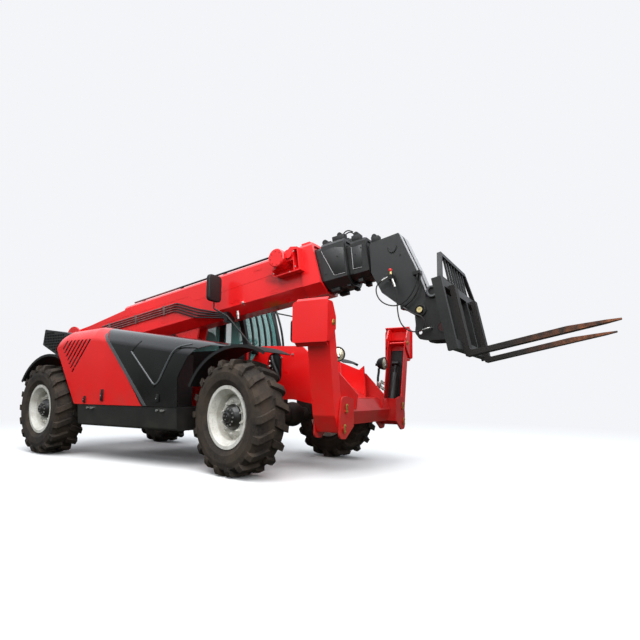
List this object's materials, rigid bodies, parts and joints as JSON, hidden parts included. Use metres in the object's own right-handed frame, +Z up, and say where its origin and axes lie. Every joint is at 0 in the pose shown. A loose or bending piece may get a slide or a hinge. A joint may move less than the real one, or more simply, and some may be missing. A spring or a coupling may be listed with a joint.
{
  "type": "telescopic handler",
  "caption": "Rough-terrain telescopic handler: four-section boom, fork carriage, front stabilisers, side cab, engine cover and steered wheels on two axles.",
  "frame": {"origin": "middle of the machine's footprint, on the ground", "axes": "+X forward along the machine towards the fork tips, +Y to the machine's left, +Z up"},
  "size_m": [7.6832, 2.6526, 2.7019],
  "materials": {
    "red_paint": "gloss red paint",
    "black_paint": "gloss black paint",
    "dark_paint": "satin near-black paint",
    "rim_paint": "light grey paint, dusty",
    "axle_paint": "satin black paint, dusty",
    "tyre": "dusty rubber",
    "glass": "clear",
    "seat": "woven",
    "plastic": "matt",
    "engine": "painted",
    "rod": "polished",
    "fork_steel": "rusty hot-rolled steel",
    "pipe_steel": "dark",
    "hose": "matt"
  },
  "bodies": {
    "chassis": {"chassis_frame": "red_paint", "front_nose": "red_paint", "front_axle": "axle_paint", "rear_axle": "axle_paint", "engine_sill": "dark_paint", "engine_block": "engine", "cooling_pack": "dark_paint", "fenders": "black_paint", "cab_shell": "black_paint", "cab_glass": "glass", "windscreen_guard": "dark_paint", "seat": "seat", "cab_controls": "plastic", "fuel_tank": "dark_paint", "mirrors": "plastic", "headlamps": "plastic"},
    "engine_cover_rear": {"engine_cover_rear": "red_paint"},
    "engine_cover_front": {"engine_cover_front": "black_paint"},
    "cab_door": {"cab_door": "black_paint", "door_glass": "glass"},
    "boom_1": {"boom_section_1": "red_paint", "boom_drum": "red_paint", "boom_pipes": "pipe_steel"},
    "boom_2": {"boom_section_2": "dark_paint"},
    "boom_3": {"boom_section_3": "dark_paint"},
    "boom_4": {"boom_head": "dark_paint", "head_fittings": "pipe_steel", "hose_head_1": "hose", "hose_head_2": "hose", "hose_head_3": "hose"},
    "lift_barrel": {"lift_barrel": "dark_paint"},
    "lift_rod": {"lift_rod": "rod"},
    "tilt_barrel": {"tilt_barrel": "dark_paint"},
    "tilt_rod": {"tilt_rod": "rod"},
    "carriage": {"coupler": "dark_paint", "carriage": "dark_paint", "forks": "fork_steel"},
    "knuckle_front_right": {"knuckle_front_right": "axle_paint"},
    "wheel_front_right": {"rim_front_right": "rim_paint", "tyre_front_right": "tyre"},
    "knuckle_front_left": {"knuckle_front_left": "axle_paint"},
    "wheel_front_left": {"rim_front_left": "rim_paint", "tyre_front_left": "tyre"},
    "knuckle_rear_right": {"knuckle_rear_right": "axle_paint"},
    "wheel_rear_right": {"rim_rear_right": "rim_paint", "tyre_rear_right": "tyre"},
    "knuckle_rear_left": {"knuckle_rear_left": "axle_paint"},
    "wheel_rear_left": {"rim_rear_left": "rim_paint", "tyre_rear_left": "tyre"},
    "stabiliser_right": {"stabiliser_right": "red_paint"},
    "pad_right": {"pad_right": "red_paint"},
    "stabiliser_barrel_right": {"stabiliser_barrel_right": "dark_paint"},
    "stabiliser_rod_right": {"stabiliser_rod_right": "rod"},
    "stabiliser_left": {"stabiliser_left": "red_paint"},
    "pad_left": {"pad_left": "red_paint"},
    "stabiliser_barrel_left": {"stabiliser_barrel_left": "dark_paint"},
    "stabiliser_rod_left": {"stabiliser_rod_left": "rod"}
  },
  "joints": [
    {"name": "steer_front_right", "type": "hinge", "parent": "chassis", "child": "knuckle_front_right", "pos_m": [0.37341, -0.8, 0.615], "axis": [0, 0, 1], "range_deg": [-21.9, 48.1]},
    {"name": "spin_front_right", "type": "hinge", "parent": "knuckle_front_right", "child": "wheel_front_right", "pos_m": [0.32582, -1.00453, 0.615], "axis": [0.2267, 0.974, 0], "continuous": true},
    {"name": "steer_front_left", "type": "hinge", "parent": "chassis", "child": "knuckle_front_left", "pos_m": [0.37341, 0.8, 0.615], "axis": [0, 0, 1], "range_deg": [-21.9, 48.1]},
    {"name": "spin_front_left", "type": "hinge", "parent": "knuckle_front_left", "child": "wheel_front_left", "pos_m": [0.42101, 1.00453, 0.615], "axis": [0.2267, 0.974, 0], "continuous": true},
    {"name": "steer_rear_right", "type": "hinge", "parent": "chassis", "child": "knuckle_rear_right", "pos_m": [-3.02659, -0.8, 0.615], "axis": [0, 0, 1], "range_deg": [-28.2, 41.8]},
    {"name": "spin_rear_right", "type": "hinge", "parent": "knuckle_rear_right", "child": "wheel_rear_right", "pos_m": [-3.05145, -1.00852, 0.615], "axis": [0.1184, 0.993, 0], "continuous": true},
    {"name": "steer_rear_left", "type": "hinge", "parent": "chassis", "child": "knuckle_rear_left", "pos_m": [-3.02659, 0.8, 0.615], "axis": [0, 0, 1], "range_deg": [-28.2, 41.8]},
    {"name": "spin_rear_left", "type": "hinge", "parent": "knuckle_rear_left", "child": "wheel_rear_left", "pos_m": [-3.00172, 1.00852, 0.615], "axis": [0.1184, 0.993, 0], "continuous": true},
    {"name": "boom_lift", "type": "hinge", "parent": "chassis", "child": "boom_1", "pos_m": [-3.67659, -0.03, 1.74], "axis": [0, -1, 0], "range_deg": [-9, 57]},
    {"name": "boom_extend", "type": "slide", "parent": "boom_1", "child": "boom_2", "axis": [0.9895, 0, 0.1444], "range_m": [0, 2.75]},
    {"name": "boom_extend_2", "type": "slide", "parent": "boom_2", "child": "boom_3", "axis": [0.9895, 0, 0.1444], "range_m": [0, 2.75]},
    {"name": "boom_extend_3", "type": "slide", "parent": "boom_3", "child": "boom_4", "axis": [0.9895, 0, 0.1444], "range_m": [0, 2.75]},
    {"name": "carriage_tilt", "type": "hinge", "parent": "boom_4", "child": "carriage", "pos_m": [2.07341, -0.03, 1.755], "axis": [0, 1, 0], "range_deg": [-10, 72]},
    {"name": "lift_barrel_swing", "type": "hinge", "parent": "chassis", "child": "lift_barrel", "pos_m": [-3.37659, -0.03, 0.8], "axis": [0, -1, 0], "range_deg": [-8.18, 49.16]},
    {"name": "lift_rod_slide", "type": "slide", "parent": "lift_barrel", "child": "lift_rod", "axis": [0.9351, 0, 0.3544], "range_m": [-0.1423, 0.8851]},
    {"name": "tilt_barrel_swing", "type": "hinge", "parent": "boom_4", "child": "tilt_barrel", "pos_m": [1.66341, -0.03, 2.11], "axis": [0, 1, 0], "range_deg": [-2.62, 15.79]},
    {"name": "tilt_rod_slide", "type": "slide", "parent": "tilt_barrel", "child": "tilt_rod", "axis": [0.9538, 0, -0.3003], "range_m": [-0.031, 0.2048]},
    {"name": "stabiliser_swing_right", "type": "hinge", "parent": "chassis", "child": "stabiliser_right", "pos_m": [1.34591, -0.83, 0.533], "axis": [1, 0, 0], "range_deg": [0, 99]},
    {"name": "pad_swivel_right", "type": "hinge", "parent": "stabiliser_right", "child": "pad_right", "pos_m": [1.34591, -1.04, 1.555], "axis": [1, 0, 0], "range_deg": [-10, 1]},
    {"name": "stabiliser_barrel_swing_right", "type": "hinge", "parent": "chassis", "child": "stabiliser_barrel_right", "pos_m": [1.34591, -0.789, 0.7], "axis": [1, 0, 0], "range_deg": [-0.5, 105.26]},
    {"name": "stabiliser_rod_slide_right", "type": "slide", "parent": "stabiliser_barrel_right", "child": "stabiliser_rod_right", "axis": [0, -0.2951, 0.9555], "range_m": [-0.003, 0.2465]},
    {"name": "stabiliser_swing_left", "type": "hinge", "parent": "chassis", "child": "stabiliser_left", "pos_m": [1.34591, 0.83, 0.533], "axis": [-1, 0, 0], "range_deg": [0, 99]},
    {"name": "pad_swivel_left", "type": "hinge", "parent": "stabiliser_left", "child": "pad_left", "pos_m": [1.34591, 1.04, 1.555], "axis": [-1, 0, 0], "range_deg": [-10, 1]},
    {"name": "stabiliser_barrel_swing_left", "type": "hinge", "parent": "chassis", "child": "stabiliser_barrel_left", "pos_m": [1.34591, 0.789, 0.7], "axis": [-1, 0, 0], "range_deg": [-0.5, 105.26]},
    {"name": "stabiliser_rod_slide_left", "type": "slide", "parent": "stabiliser_barrel_left", "child": "stabiliser_rod_left", "axis": [0, 0.2951, 0.9555], "range_m": [-0.003, 0.2465]},
    {"name": "engine_cover_rear_hinge", "type": "hinge", "parent": "chassis", "child": "engine_cover_rear", "pos_m": [-2.22659, -0.415, 1.698], "axis": [-1, 0, 0], "range_deg": [0, 55]},
    {"name": "engine_cover_front_hinge", "type": "hinge", "parent": "chassis", "child": "engine_cover_front", "pos_m": [-1.52659, -0.415, 1.645], "axis": [-0.9903, 0, 0.1386], "range_deg": [0, 55]},
    {"name": "cab_door_hinge", "type": "hinge", "parent": "chassis", "child": "cab_door", "pos_m": [-1.51459, 1.16, 1.7], "axis": [0, 0, 1], "range_deg": [0, 85]}
  ],
  "couplings": [
    {"joint": "steer_front_left", "follows": "steer_front_right", "ratio": 1},
    {"joint": "steer_rear_left", "follows": "steer_rear_right", "ratio": 1},
    {"joint": "boom_extend_2", "follows": "boom_extend", "ratio": 1},
    {"joint": "boom_extend_3", "follows": "boom_extend", "ratio": 1},
    {"joint": "lift_barrel_swing", "follows": "boom_lift", "ratio": 0.85361},
    {"joint": "lift_rod_slide", "follows": "boom_lift", "m_per_rad": 0.88668},
    {"joint": "tilt_barrel_swing", "follows": "carriage_tilt", "ratio": 0.21233},
    {"joint": "tilt_rod_slide", "follows": "carriage_tilt", "m_per_rad": 0.16057},
    {"joint": "pad_swivel_right", "follows": "stabiliser_swing_right", "ratio": -0.0909},
    {"joint": "stabiliser_barrel_swing_right", "follows": "stabiliser_swing_right", "ratio": 1.0582},
    {"joint": "stabiliser_rod_slide_right", "follows": "stabiliser_swing_right", "m_per_rad": 0.14095},
    {"joint": "pad_swivel_left", "follows": "stabiliser_swing_left", "ratio": -0.0909},
    {"joint": "stabiliser_barrel_swing_left", "follows": "stabiliser_swing_left", "ratio": 1.0582},
    {"joint": "stabiliser_rod_slide_left", "follows": "stabiliser_swing_left", "m_per_rad": 0.14095}
  ]
}
